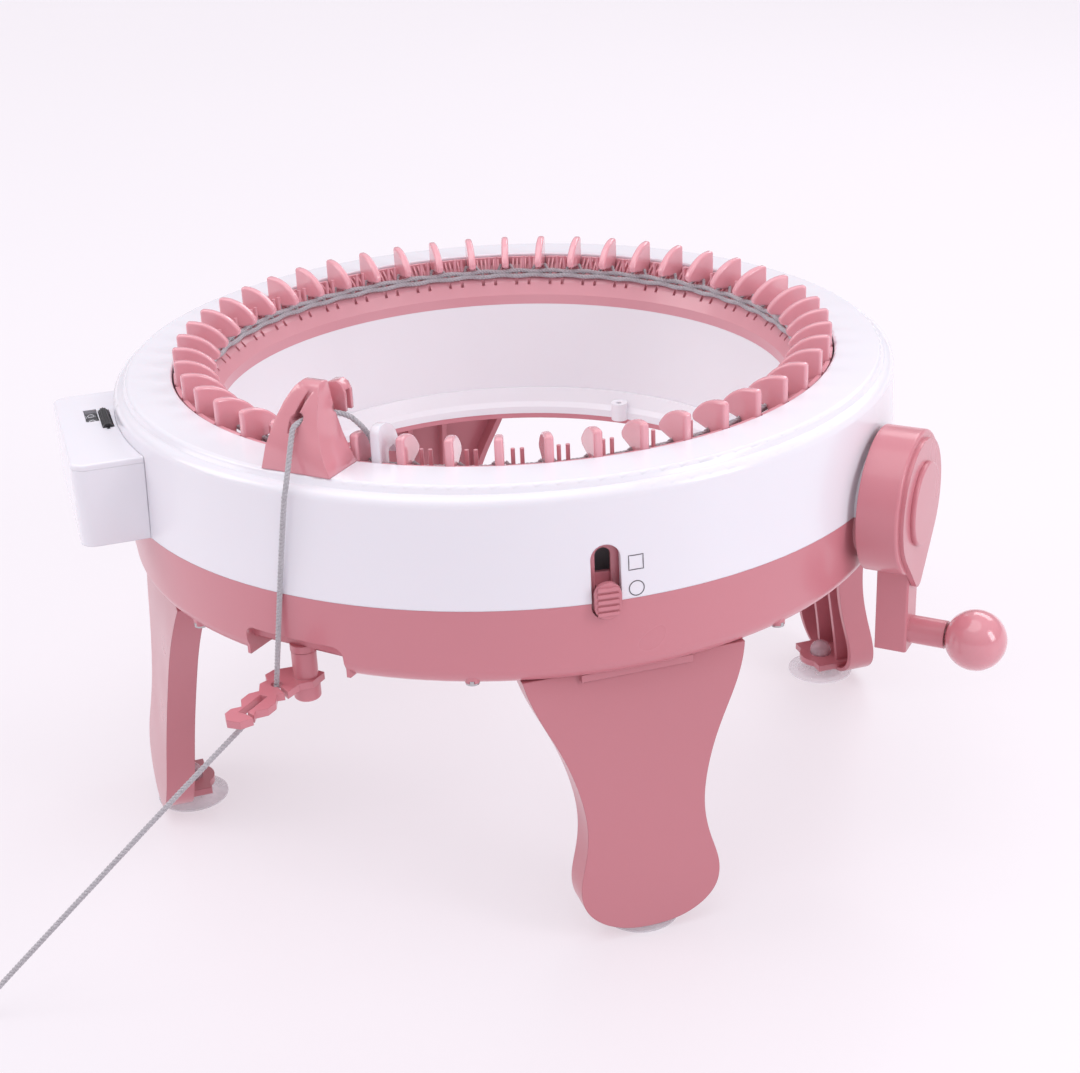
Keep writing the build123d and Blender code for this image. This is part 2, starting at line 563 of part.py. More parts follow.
def counter_case():
    """Box on the casing wall; the casing's curve closes its back."""
    box = block(150, COUNTER_FACE, -COUNTER_HALF, COUNTER_HALF, SEAM_Z, LID_Z)
    box = fillet(box.edges().filter_by(Axis.Z).group_by(Axis.X)[-1], 6.0)
    hollow = block(140, COUNTER_FACE - 2, -COUNTER_HALF + 2, COUNTER_HALF - 2, SEAM_Z + 2, LID_Z + 1)
    ribs = [block(164, COUNTER_FACE - 1, t - 0.9, t + 0.9, SEAM_Z + 1, LID_Z - 2.4) for t in (-23.0, -4.6)]
    case = box - hollow + ribs - casing_space()
    case -= crossbar(AXLE_R, -24.2, -3.4, WHEEL_N, WHEEL_Z)
    return Rot(0, 0, COUNTER_ANGLE) * case


def counter_lid():
    lid = block(150, COUNTER_FACE, -COUNTER_HALF, COUNTER_HALF, LID_Z, COUNTER_TOP_Z)
    lid = fillet(lid.edges().filter_by(Axis.Z).group_by(Axis.X)[-1], 6.0)
    lid = fillet(lid.edges().group_by(Axis.Z)[-1].group_by(Axis.X)[-1], 1.0)
    lid -= casing_space()
    lid -= block(*WINDOW, 170, 180)
    lid -= block(*ROLLER_SLOT, 170, 180)
    lid -= crossbar(0.8 + RUNNING, ROLLER_SLOT[2] - 1.6, ROLLER_SLOT[3] + 1.6, RESET_N, RESET_Z)
    return Rot(0, 0, COUNTER_ANGLE) * lid


def counter_window():
    return Rot(0, 0, COUNTER_ANGLE) * block(*WINDOW, 175.6, COUNTER_TOP_Z - 0.2)


def number_wheel(span):
    wheel = crossbar(WHEEL_R, span[0], span[1], WHEEL_N, WHEEL_Z)
    return Rot(0, 0, COUNTER_ANGLE) * (wheel - crossbar(AXLE_R + RUNNING, -30, 0, WHEEL_N, WHEEL_Z))


def counter_axle():
    return Rot(0, 0, COUNTER_ANGLE) * crossbar(AXLE_R, -23.8, -3.8, WHEEL_N, WHEEL_Z)


def reset_roller():
    """Ribbed roller that sets the counter back to nought."""
    barrel = crossbar(1.7, ROLLER_SLOT[2] + 0.3, ROLLER_SLOT[3] - 0.3, RESET_N, RESET_Z)
    flange = crossbar(2.15, ROLLER_SLOT[3] - 1.4, ROLLER_SLOT[3] - 0.3, RESET_N, RESET_Z)
    ribs = [Pos(RESET_N, 0, RESET_Z) * Rot(0, 30 * i, 0) * Pos(1.7, (ROLLER_SLOT[2] + ROLLER_SLOT[3]) / 2, 0)
            * Box(0.5, 20.6, 0.45) for i in range(12)]
    stub = crossbar(0.8, ROLLER_SLOT[2] - 1.4, ROLLER_SLOT[3] + 1.4, RESET_N, RESET_Z)
    return Rot(0, 0, COUNTER_ANGLE) * (barrel + ribs + flange + stub)


def counter_lever():
    """Lever that a lobe on the crown gear knocks once a turn."""
    boss = disc(2.2, 126.4, 130.0, x=LEVER_N, y=LEVER_T)
    bar = block(LEVER_N - 1.1, LEVER_N + 1.1, -4.0, LEVER_T, 126.4, 129.0)
    nose = block(154.85, LEVER_N, -4.0, -1.0, 126.4, 129.0)
    finger = block(LEVER_N - 1.1, LEVER_N + 1.1, 2.0, 4.6, 126.4, 152.0)
    lever = joined([boss, bar, nose, finger]) - disc(1.0 + RUNNING, 120, 135, x=LEVER_N, y=LEVER_T)
    return Rot(0, 0, COUNTER_ANGLE) * lever


def counter_lever_pin():
    parts = [disc(r, z0, z1, x=LEVER_N, y=LEVER_T)
             for r, z0, z1 in ((1.0, LEVER_FOOT_Z, 131.4), (1.9, 130.2, 131.4), (1.9, LEVER_FOOT_Z, 126.2))]
    return Rot(0, 0, COUNTER_ANGLE) * joined(parts)


# ---------------------------------------------------------------- yarn guide
def yarn_guide():
    """Tower that tapers and leans inward, with a forked lip over the needles."""
    side = make_face(Polyline((-157.6, TOP_Z), (-155.8, 196.5), (-151.0, 206.9), (-147.0, 214.6), (-144.6, 217.8),
                              (-142.0, 218.6), (-139.2, 218.0), (-139.2, TOP_Z), close=True))
    body = extrude(Plane.YZ.offset(-20) * side, amount=40)
    front = make_face(Polyline((-14.4, TOP_Z), (-13.0, 196.5), (-11.0, 204.6), (-8.2, 211.6), (-5.2, 216.6),
                               (-2.8, 218.8), (4.0, 218.8), (5.0, 217.4), (5.6, 214.6), (6.4, 210.0),
                               (7.6, 205.0), (9.4, 199.4), (11.8, 193.6), (14.6, TOP_Z), close=True))
    body &= extrude(Plane.XZ.offset(100) * (Pos(GUIDE_X, 0) * front), amount=80)
    # the fork: a round-topped lip behind the tower, joined to it below the gap that the yarn runs through
    lip_face = make_face(Polyline((-4.7, FORK_Z), (-4.7, 211.2), (-3.6, 213.8), (-1.8, 215.4), (1.4, 215.8),
                                  (3.4, 214.6), (4.7, 211.8), (4.7, FORK_Z), close=True))
    lip = extrude(Plane.XZ.offset(128.8) * (Pos(LIP_X, 0) * lip_face), amount=5.2)
    web = block(LIP_X - 4.7, LIP_X - 0.5, -139.4, -133.8, FORK_Z, FORK_Z + 2.0)
    guide = body + lip + web
    bore = YARN_PATH_R + 0.9
    start, end = Vector(*GUIDE_BORE[0]), Vector(*GUIDE_BORE[1])
    along = (end - start).normalized()
    tunnel = Solid.make_cylinder(bore, (end - start).length + 6, Plane(origin=start - along * 3, z_dir=along))
    slot_line = [(-3.5, 205.4), (-2.5, 208.6), (-1.0, 212.0), (1.1, 215.6), (3.6, 220.0)]
    slot_face = make_face(Polyline(*[(x - 0.9, z) for x, z in slot_line],
                                   *[(x + 0.9, z) for x, z in reversed(slot_line)], close=True))
    slot_front = extrude(Plane.XZ.offset(145.8) * slot_face, amount=30)
    mouth = Pos(GUIDE_BORE[0][0], -153.6, 203.9) * Rot(0, 90, 0) * Cylinder(2.6, 3.8)
    groove = block(LIP_X + 1.4, LIP_X + 6.0, -132.8, -130.2, FORK_Z - 1, 212.4)
    guide -= [tunnel, slot_front, mouth, groove]
    return guide - [disc(1.5, 180.0, 197.0, x=x, y=GUIDE_SCREW_Y) for x in GUIDE_SCREW_X]


# ---------------------------------------------------------------- tensioner
def tensioner_post():
    """Post that hangs from the roof of the recess."""
    collar = disc(5.0, 114.6, NOTCH_Z, x=POST[0], y=POST[1])
    return collar + disc(2.6, 97.0, NOTCH_Z, x=POST[0], y=POST[1])


def tensioner_cap():
    cap = disc(5.2, 94.0, ARM_Z - 0.1, x=POST[0], y=POST[1])
    cap = fillet(cap.edges().group_by(Axis.Z)[0], 1.2)
    return cap - disc(2.6, 97.0, 105.0, x=POST[0], y=POST[1])


def tensioner_arm():
    """Flat arm with a hub, lobed edges and slots that the yarn is threaded through."""
    x0 = -13.4
    outline = [(-2.6, -149.0), (-2.6, -157.0), (-6.2, -160.6), (-6.8, -168.4), (-9.4, -170.6), (-6.4, -176.0),
               (-6.4, -181.0), (-9.4, -184.6), (-7.4, -189.0), (-10.0, -193.6), (-15.4, -194.4),
               (-19.0, -190.4), (-19.0, -186.6), (-16.4, -183.6), (-19.6, -179.4), (-19.6, -174.4),
               (-17.2, -171.2), (-20.2, -166.4), (-19.2, -163.0), (-22.4, -159.6), (-21.6, -155.0),
               (-14.0, -148.0)]
    plate = extrude(Pos(0, 0, ARM_Z) * make_face(Polyline(*outline, close=True)), amount=ARM_T)
    hub = disc(4.8, ARM_Z, 114.4, x=POST[0], y=POST[1])
    arm = plate + hub - disc(2.6 + RUNNING, 90, 120, x=POST[0], y=POST[1])
    hole = disc(2.2, 90, 110, x=YARN_HOLE[0], y=YARN_HOLE[1])
    entry = Pos(YARN_HOLE[0] + 5.4, YARN_HOLE[1] - 3.2, ARM_Z) * Rot(0, 0, -30) * Box(12.0, 1.2, 20)
    window = block(x0 - 1.6, x0 + 1.6, -187.5, -173.5, 90, 110)
    tip_entry = Pos(-10.2, -187.4, ARM_Z) * Rot(0, 0, -20) * Box(9.0, 1.2, 20)
    return arm - [hole, entry, window, tip_entry]


# ---------------------------------------------------------------- yarn
YARN_PATH_R = YARN_R + 0.4
YARN_HOLE = (-14.0, -164.2)
GUIDE_BORE = ((-3.4, -153.0, 205.9), (4.6, -138.2, 207.4))

# where the strand that turns with the needles meets the strand from the guide
YARN_PART = (9.87, -133.98, 203.4)

# from the parting point above the needles, through the guide, down the casing to the tensioner
FEED_ROUTE = [YARN_PART, (5.2, -137.4, 207.2), (-3.4, -152.4, 205.9), (-3.2, -155.6, 202.2),
              (0.6, -166.0, 185.6), (-0.4, -166.5, 181.5), (-6.6, -166.6, 143.0), (-13.96, -164.22, 103.82)]
FEED_RADII = [2.4, 3.2, 1.8, 2.0, 2.0, 40.0]

# from the hole in the arm, under it to the tip and down to the table, in a straight pull
TAIL_ROUTE = [(-14.0, -164.2, 103.5), (-14.0, -164.4, 98.7), (-13.2, -191.6, 98.9), (-87.4, -266.0, 4.6)]
TAIL_RADII = [3.3, 3.3]

CAST_R = 126.5
CAST_Z = 180.9
CAST_PITCH = 2.25           # rise of the strand in one round
CAST_START = 283.4
CAST_SWEEP = 710.0          # nearly two rounds
CAST_STEPS = 52
CAST_ENTRY = 0.7            # the strand joins the round this much further in, clear of the spikes


def cast_route():
    """Down from the guide, under the white needle's hook, then nearly twice round the needles."""
    route = [YARN_PART, (14.9, -130.3, 199.3), (14.9, -127.9, 187.5), (21.2, -126.6, 182.2)]
    for i in range(CAST_STEPS + 1):
        turned_by = CAST_SWEEP * i / CAST_STEPS
        a = radians(CAST_START + turned_by)
        radius = CAST_R if i else CAST_R - CAST_ENTRY
        route.append((radius * cos(a), radius * sin(a), CAST_Z + CAST_PITCH * turned_by / 360))
    return route


def corner_radii(route, ratio=0.45):
    """Largest arc that each corner's shorter run allows."""
    radii = []
    points = [Vector(*p) for p in route]
    for before, corner, after in zip(points, points[1:], points[2:]):
        turn = radians((corner - before).get_angle(after - corner))
        shorter = min((corner - before).length, (after - corner).length)
        radii.append(ratio * shorter / tan(turn / 2))
    return radii


def yarn(name, route, radii):
    """Plain round tube along straight runs joined by tangent arcs."""
    path = FilletPolyline(*route, radius=radii)
    start = Plane(origin=path @ 0, z_dir=path % 0)
    tube = sweep(start * Circle(YARN_R), path=path)
    length = path.length
    print(name, "length", round(length, 1), "volume ratio",
          round(tube.volume / (pi * YARN_R ** 2 * length), 4), "radii", [round(r, 1) for r in radii])
    return tube


def yarn_end_knot():
    x, y, z = TAIL_ROUTE[-1]
    return Pos(x - 1.2, y - 1.2, z - 1.5) * Sphere(2.6)


# ---------------------------------------------------------------- pieces
def main():
    os.makedirs("parts", exist_ok=True)
    save("base_housing", base_housing())
    save("top_cover", top_cover())
    save("inner_collar", inner_collar())
    save("cam_ring", cam_ring())
    save("needle_drum", needle_drum())
    save("needle_bed", needle_bed())
    save("comb_ring", comb_ring())
    save("crown_gear", crown_gear())
    save("needles", around(needle(), needle_angles))
    save("first_needle", Rot(0, 0, WHITE_ANGLE) * Pos(0, 0, WHITE_LIFT) * needle())
    save("drive_pinion", drive_pinion())
    save("crank_bush", crank_bush())
    save("crank_handle", crank_handle())
    save("crank_cap", crank_cap())
    save("crank_screw", crank_screw())
    save("knob_pin", knob_pin())
    save("crank_knob", crank_knob())
    one_leg = leg()
    one_cup = suction_cup()
    for side, angle in LEG_ANGLES.items():
        save("leg_" + side, Rot(0, 0, angle) * one_leg)
        save("suction_cup_" + side, Rot(0, 0, angle) * one_cup)
    save("mode_frame", mode_frame())
    save("mode_slider", mode_slider())
    save("counter_case", counter_case())
    save("counter_lid", counter_lid())
    save("counter_window", counter_window())
    save("units_wheel", number_wheel(UNITS_T))
    save("tens_wheel", number_wheel(TENS_T))
    save("counter_axle", counter_axle())
    save("reset_roller", reset_roller())
    save("counter_lever", counter_lever())
    save("counter_lever_pin", counter_lever_pin())
    save("yarn_guide", yarn_guide())
    save("tensioner_post", tensioner_post())
    save("tensioner_cap", tensioner_cap())
    save("tensioner_arm", tensioner_arm())
    roller = rod(ROLLER_R, ROLLER_MID_R - 2.5, ROLLER_MID_R + 2.5, z=ROLLER_Z) - rod(1.0 + RUNNING, 120, 140,
                                                                                     z=ROLLER_Z)
    for i, angle in enumerate(roller_angles):
        save("support_roller_" + str(i + 1), Rot(0, 0, angle) * roller)
    save("roller_pins", around(rod(1.0, 125.8, 133.6, z=ROLLER_Z), roller_angles))
    save("casing_screws", around(Pos(CASING_SCREW_R, 0, 0) * screw(1.5, 2.6, 156.0, 112.6, BOTTOM_Z + 0.2),
                                 SCREW_ANGLES))
    save("cam_screws", around(Pos(CAM_SCREW_R, 0, 0) * (disc(1.2, 165.6, 176.0) + disc(1.5, 165.6, 168.0)
                                                        + disc(3.0, 163.6, 165.6)), SCREW_ANGLES))
    save("collar_screws", around(Pos(COLLAR_SCREW_R, 0, 0) * screw(1.3, 1.4, BOTTOM_Z + 0.4, 115.2, 116.4),
                                 collar_angles))
    save("drum_screws", around(Pos(DRUM_SCREW_R, 0, 0) * screw(1.2, 2.3, TRACK_Z, 125.2, 126.8), SCREW_ANGLES))
    save("leg_screws", around(Pos(LEG_SCREW_N, 0, 0) * screw(1.5, 3.0, BOTTOM_Z - 3, FLOOR_Z, FLOOR_Z + 1.8),
                              LEG_ANGLES.values()))
    save("guide_screws", [Pos(x, GUIDE_SCREW_Y, 0) * screw(1.5, 2.6, 197.0, 185.8, 184.0)
                          for x in GUIDE_SCREW_X])
    save("feed_yarn", yarn("feed_yarn", FEED_ROUTE, FEED_RADII))
    route = cast_route()
    save("cast_on_yarn", yarn("cast_on_yarn", route, corner_radii(route)))
    save("tail_yarn", yarn("tail_yarn", TAIL_ROUTE, TAIL_RADII))
    save("yarn_end_knot", yarn_end_knot())


main()
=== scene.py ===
import json
import math

import bpy
from mathutils import Matrix, Vector


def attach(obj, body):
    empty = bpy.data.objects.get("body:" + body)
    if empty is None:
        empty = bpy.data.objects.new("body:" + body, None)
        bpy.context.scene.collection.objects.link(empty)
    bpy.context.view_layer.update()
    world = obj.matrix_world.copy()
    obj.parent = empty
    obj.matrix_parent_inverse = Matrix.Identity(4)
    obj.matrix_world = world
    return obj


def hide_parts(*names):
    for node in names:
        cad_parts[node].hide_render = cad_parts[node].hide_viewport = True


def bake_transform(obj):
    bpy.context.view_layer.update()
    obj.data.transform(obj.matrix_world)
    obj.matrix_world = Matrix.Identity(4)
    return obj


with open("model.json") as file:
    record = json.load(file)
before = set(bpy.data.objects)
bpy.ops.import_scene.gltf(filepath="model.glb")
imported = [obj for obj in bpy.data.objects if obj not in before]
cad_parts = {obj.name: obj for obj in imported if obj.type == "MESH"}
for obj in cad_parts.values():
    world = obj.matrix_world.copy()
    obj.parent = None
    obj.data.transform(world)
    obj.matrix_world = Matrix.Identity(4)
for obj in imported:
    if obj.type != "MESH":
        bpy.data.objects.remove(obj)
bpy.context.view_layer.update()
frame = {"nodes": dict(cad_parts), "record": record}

scene = bpy.context.scene
nodes = frame["nodes"]
MM = 0.001


def point(x, y, z):
    """A point given in millimetres, in the row frame."""
    return Vector((x, y, z)) * MM


# ---------------------------------------------------------------- camera
EYE = point(361.2, -660.2, 434.9)
FORWARD = Vector((-0.4249, 0.8074, -0.4094)).normalized()
RIGHT = Vector((0.8922, 0.4499, -0.0389))
LENS = 61.81
SENSOR = 36.0

camera_data = bpy.data.cameras.new("camera")
camera_data.lens = LENS
camera_data.sensor_width = SENSOR
camera_data.clip_end = 20.0
camera = bpy.data.objects.new("camera", camera_data)
scene.collection.objects.link(camera)
right = (RIGHT - FORWARD * RIGHT.dot(FORWARD)).normalized()
up = right.cross(FORWARD)
camera.matrix_world = Matrix((
    (right.x, up.x, -FORWARD.x, EYE.x),
    (right.y, up.y, -FORWARD.y, EYE.y),
    (right.z, up.z, -FORWARD.z, EYE.z),
    (0, 0, 0, 1)))
scene.camera = camera

# ---------------------------------------------------------------- materials
PINK = (0.640, 0.228, 0.270)
# The housing pink made lighter: a painted highlight on the yarn guide and crank knob, on top of their real
# gloss.
GLOSSY_PINK_PAINTED_HIGHLIGHT = (0.720, 0.279, 0.324)
PINK_NEEDLE = (0.835, 0.385, 0.440)
WHITE = (0.880, 0.855, 0.915)
INNER_WHITE = (0.930, 0.905, 0.945)
GREY_YARN = (0.520, 0.495, 0.525)


def new_material(name):
    material = bpy.data.materials.new(name)
    material.use_nodes = True
    tree = material.node_tree
    tree.nodes.clear()
    output = tree.nodes.new("ShaderNodeOutputMaterial")
    shader = tree.nodes.new("ShaderNodeBsdfPrincipled")
    tree.links.new(shader.outputs[0], output.inputs[0])
    return material, tree, shader


def noise(tree, scale, detail=3.0, roughness=0.5, distortion=0.0):
    """Noise in object coordinates; scale is in cycles for each metre."""
    coordinate = tree.nodes.new("ShaderNodeTexCoord")
    texture = tree.nodes.new("ShaderNodeTexNoise")
    texture.inputs["Scale"].default_value = scale
    texture.inputs["Detail"].default_value = detail
    texture.inputs["Roughness"].default_value = roughness
    texture.inputs["Distortion"].default_value = distortion
    tree.links.new(coordinate.outputs["Object"], texture.inputs["Vector"])
    return texture.outputs["Fac"]


def ramp(tree, fac, low, high, out_low, out_high):
    node = tree.nodes.new("ShaderNodeMapRange")
    tree.links.new(fac, node.inputs["Value"])
    for key, value in (("From Min", low), ("From Max", high), ("To Min", out_low), ("To Max", out_high)):
        node.inputs[key].default_value = value
    return node.outputs["Result"]


def mixed(tree, fac, a, b):
    node = tree.nodes.new("ShaderNodeMix")
    node.data_type = "RGBA"
    tree.links.new(fac, node.inputs["Factor"])
    node.inputs["A"].default_value = (*a, 1)
    node.inputs["B"].default_value = (*b, 1)
    return node.outputs["Result"]


def scaled(color, factor):
    return tuple(c * factor for c in color)


def plastic(name, color, rough=0.28, grain=0.025, rounding=0.4, coat=0.3, subsurface=0.06):
    """Injection-moulded plastic: faint flow marks in the colour, moulded grain, softly rounded edges."""
    material, tree, shader = new_material(name)
    flow = noise(tree, 11.0, 0.0)
    shade = mixed(tree, flow, scaled(color, 0.95), scaled(color, 1.02))
    tree.links.new(shade, shader.inputs["Base Color"])
    smear = noise(tree, 45.0, 0.0)
    tree.links.new(ramp(tree, smear, 0.0, 1.0, rough * 0.85, rough * 1.15), shader.inputs["Roughness"])
    shader.inputs["IOR"].default_value = 1.49
    shader.inputs["Coat Weight"].default_value = coat
    shader.inputs["Coat Roughness"].default_value = 0.12
    shader.inputs["Subsurface Weight"].default_value = subsurface
    shader.inputs["Subsurface Radius"].default_value = (1.0, 0.45, 0.4)
    shader.inputs["Subsurface Scale"].default_value = 0.002
    bump = tree.nodes.new("ShaderNodeBump")
    bump.inputs["Strength"].default_value = grain
    bump.inputs["Distance"].default_value = 0.0001
    tree.links.new(noise(tree, 900.0, 2.0, 0.5), bump.inputs["Height"])
    if rounding:
        bevel = tree.nodes.new("ShaderNodeBevel")
        bevel.samples = 6
        bevel.inputs["Radius"].default_value = rounding * MM
        tree.links.new(bevel.outputs["Normal"], bump.inputs["Normal"])
    tree.links.new(bump.outputs["Normal"], shader.inputs["Normal"])
    return material


def metal(name, color, rough):
    material, tree, shader = new_material(name)
    streak = noise(tree, 400.0, 4.0, 0.6)
    tree.links.new(mixed(tree, streak, scaled(color, 0.85), color), shader.inputs["Base Color"])
    shader.inputs["Metallic"].default_value = 1.0
    tree.links.new(ramp(tree, streak, 0.3, 0.7, rough * 0.8, rough * 1.3), shader.inputs["Roughness"])
    return material


def vinyl(name):
    """Clear soft vinyl of the suction cups, slightly milky."""
    material, tree, shader = new_material(name)
    haze = noise(tree, 90.0, 4.0, 0.6)
    tree.links.new(mixed(tree, haze, (0.70, 0.64, 0.70), (0.86, 0.80, 0.86)), shader.inputs["Base Color"])
    tree.links.new(ramp(tree, haze, 0.3, 0.7, 0.08, 0.20), shader.inputs["Roughness"])
    tree.links.new(ramp(tree, haze, 0.3, 0.7, 0.30, 0.42), shader.inputs["Alpha"])
    shader.inputs["IOR"].default_value = 1.45
    shader.inputs["Coat Weight"].default_value = 0.6
    shader.inputs["Coat Roughness"].default_value = 0.05
    return material


def window_glass(name):
    material, tree, shader = new_material(name)
    haze = noise(tree, 200.0)
    tree.links.new(mixed(tree, haze, (0.9, 0.9, 0.92), (0.96, 0.96, 0.98)), shader.inputs["Base Color"])
    tree.links.new(ramp(tree, haze, 0.3, 0.7, 0.04, 0.08), shader.inputs["Roughness"])
    shader.inputs["Transmission Weight"].default_value = 1.0
    shader.inputs["IOR"].default_value = 1.2
    return material


def yarn_material(name, color):
    """Spun yarn: fine fibres along the ply, darker between them."""
    material, tree, shader = new_material(name)
    fibre = noise(tree, 2600.0, 6.0, 0.75, 0.5)
    tone = noise(tree, 160.0, 3.0, 0.6)
    fine = mixed(tree, ramp(tree, fibre, 0.35, 0.68, 0.0, 1.0), scaled(color, 0.66), scaled(color, 1.30))
    mix = tree.nodes.new("ShaderNodeMix")
    mix.data_type = "RGBA"
    mix.blend_type = "MULTIPLY"
    mix.inputs["Factor"].default_value = 0.5
    tree.links.new(fine, mix.inputs["A"])
    tree.links.new(mixed(tree, ramp(tree, tone, 0.3, 0.7, 0.0, 1.0), (0.84, 0.84, 0.86), (1.0, 1.0, 1.0)),
                   mix.inputs["B"])
    tree.links.new(mix.outputs["Result"], shader.inputs["Base Color"])
    shader.inputs["Roughness"].default_value = 0.9
    shader.inputs["Sheen Weight"].default_value = 0.5
    shader.inputs["Sheen Roughness"].default_value = 0.5
    bump = tree.nodes.new("ShaderNodeBump")
    bump.inputs["Strength"].default_value = 0.8
    bump.inputs["Distance"].default_value = 0.0003
    tree.links.new(fibre, bump.inputs["Height"])
    tree.links.new(bump.outputs["Normal"], shader.inputs["Normal"])
    return material


M = {
    "pink": plastic("pink_plastic", PINK, rough=0.30, grain=0.03, rounding=0.6),
    # Yarn guide and crank knob: real high gloss from coat and roughness, plus a painted highlight in their
    # lighter pink.
    "glossy_pink_painted_highlight": plastic("glossy_pink_plastic_painted_highlight", GLOSSY_PINK_PAINTED_HIGHLIGHT, rough=0.18, grain=0.02, rounding=0.8,
                           coat=1.0),
    # The legs: the housing pink darkened to 0.88 as painted shade, for the shade that falls on them under the
    # machine.
    "leg": plastic("leg_plastic_painted_shade", scaled(PINK, 0.88), rough=0.30, grain=0.03, rounding=0.6),
    "needle": plastic("needle_plastic", PINK_NEEDLE, rough=0.20, grain=0.02, rounding=0.5, coat=0.9,
                      subsurface=0.08),
    "comb": plastic("comb_plastic", scaled(PINK_NEEDLE, 0.88), rough=0.32, grain=0.025, rounding=0.3),
    "white": plastic("white_plastic", WHITE, rough=0.24, grain=0.025, rounding=0.6, coat=0.35),
    "white_needle": plastic("white_needle_plastic", scaled(WHITE, 0.98), rough=0.26, rounding=0.5,
                            subsurface=0.12),
    "inner": plastic("inner_white_plastic", INNER_WHITE, rough=0.40, grain=0.05, rounding=0.3, coat=0.1),
    "gear": plastic("gear_plastic", (0.78, 0.76, 0.80), rough=0.42, grain=0.05, rounding=0.2, coat=0.0),
    "black": plastic("black_plastic", (0.018, 0.017, 0.019), rough=0.34, grain=0.10, rounding=0.15, coat=0.1,
                     subsurface=0.0),
    "steel": metal("plated_steel", (0.55, 0.55, 0.56), 0.32),
    "vinyl": vinyl("clear_vinyl"),
    "glass": window_glass("window_glass"),
    "yarn": yarn_material("grey_yarn", GREY_YARN),
    "digit": plastic("digit_white", (0.85, 0.85, 0.86), rough=0.5, grain=0.03, rounding=0.0, coat=0.0,
                     subsurface=0.0),
    "icon": plastic("icon_print", (0.13, 0.12, 0.14), rough=0.5, grain=0.02, rounding=0.0, coat=0.0,
                    subsurface=0.0),
}

SLOT_MATERIAL = {
    "pink_housing": "pink", "white_cover": "white", "pink_needle": "needle", "white_needle": "white_needle",
    "inner_white": "inner", "gear_white": "gear", "bush": "gear", "steel": "steel", "clear_cup": "vinyl",
    "counter_window": "glass", "counter_wheel": "black", "reset_roller": "black", "yarn": "yarn",
}
OWN_MATERIAL = {"comb_ring": "comb", "yarn_guide": "glossy_pink_painted_highlight", "crank_knob": "glossy_pink_painted_highlight"}
# The legs take the darkened pink with its painted shade.
for side in ("front_right", "front_left", "rear_right", "rear_left"):
    OWN_MATERIAL["leg_" + side] = "leg"
SMOOTH_ANGLE = math.radians(32)
BEVEL_ANGLE = math.radians(38)
WELD_DISTANCE = 0.01 * MM

for part in frame["record"]["subparts"]:
    piece = nodes[part["node"]]
    key = OWN_MATERIAL.get(part["node"], SLOT_MATERIAL[part["material_slot"]])
    piece.data.materials.clear()
    piece.data.materials.append(M[key])
    piece.data.shade_smooth()
    piece.data.set_sharp_from_angle(angle=SMOOTH_ANGLE)


def rounded(piece, width, segments):
    """Moulded edge radii that show in the outline."""
    weld = piece.modifiers.new("weld", "WELD")
    weld.merge_threshold = WELD_DISTANCE
    bevel = piece.modifiers.new("round", "BEVEL")
    bevel.width = width * MM
    bevel.segments = segments
    bevel.limit_method = "ANGLE"
    bevel.angle_limit = BEVEL_ANGLE
    bevel.harden_normals = True


rounded(nodes["first_needle"], 1.0, 3)
rounded(nodes["yarn_guide"], 0.8, 3)

# ---------------------------------------------------------------- needle layout
NEEDLES = 48
NEEDLE_PITCH = 7.5          # degrees
FIRST_ANGLE = 4.8           # of the first pink needle
WHITE_ANGLE = 278.4         # of the white needle, midway between two pink ones
STEM_IN_R, STEM_OUT_R, STEM_LOW_Z, CREST_Z = 130.1, 138.0, 131.0, 197.5
BUTT_R, BUTT_Z, BUTT_HEIGHT = 142.0, 150.05, 4.5
NEEDLE_HALF = 1.7           # half of a needle's thickness

# ---------------------------------------------------------------- yarn
YARN_D = 2.2 * MM
FEED = [(9.87, -133.98, 202.6), (5.2, -137.4, 206.9), (-2.6, -152.8, 205.6), (-1.9, -156.0, 201.4),
        (0.6, -166.0, 185.6), (-0.4, -166.5, 181.5), (-6.6, -166.6, 143.0), (-13.96, -164.22, 103.82)]
TAIL = [(-14.0, -164.2, 103.5), (-14.0, -164.4, 98.7), (-13.2, -191.6, 98.9), (-87.4, -266.0, 4.6)]
CAST_R, CAST_Z = 124.9, 180.2
CAST_SPREAD, CAST_PITCH = 1.2, 1.85        # the second round lies outside and above the first
CAST_START, CAST_SWEEP = 283.4, 710.0
CROSSING_START, CROSSING_LENGTH = 330, 30  # degrees: the second round runs out of step with the first
WAVE_R, WAVE_Z = 0.75, 0.75                # the yarn waves out and up at the needles
CAST = [(9.87, -133.98, 202.6), (15.6, -131.9, 197.0), (15.9, -130.6, 188.4), (21.2, -126.4, 181.6)]
for i in range(int(CAST_SWEEP / NEEDLE_PITCH * 2) + 1):
    angle = CAST_START + i * NEEDLE_PITCH / 2
    crossing = min(max((angle - CAST_START - CROSSING_START) / CROSSING_LENGTH, 0), 1)
    wave = math.cos(2 * math.pi * (angle - FIRST_ANGLE) / NEEDLE_PITCH + math.pi * crossing)
    rounds = (angle - CAST_START) / 360
    radius = CAST_R + CAST_SPREAD * rounds + WAVE_R * wave
    height = CAST_Z + CAST_PITCH * rounds + WAVE_Z * wave
    CAST.append((radius * math.cos(math.radians(angle)), radius * math.sin(math.radians(angle)), height))


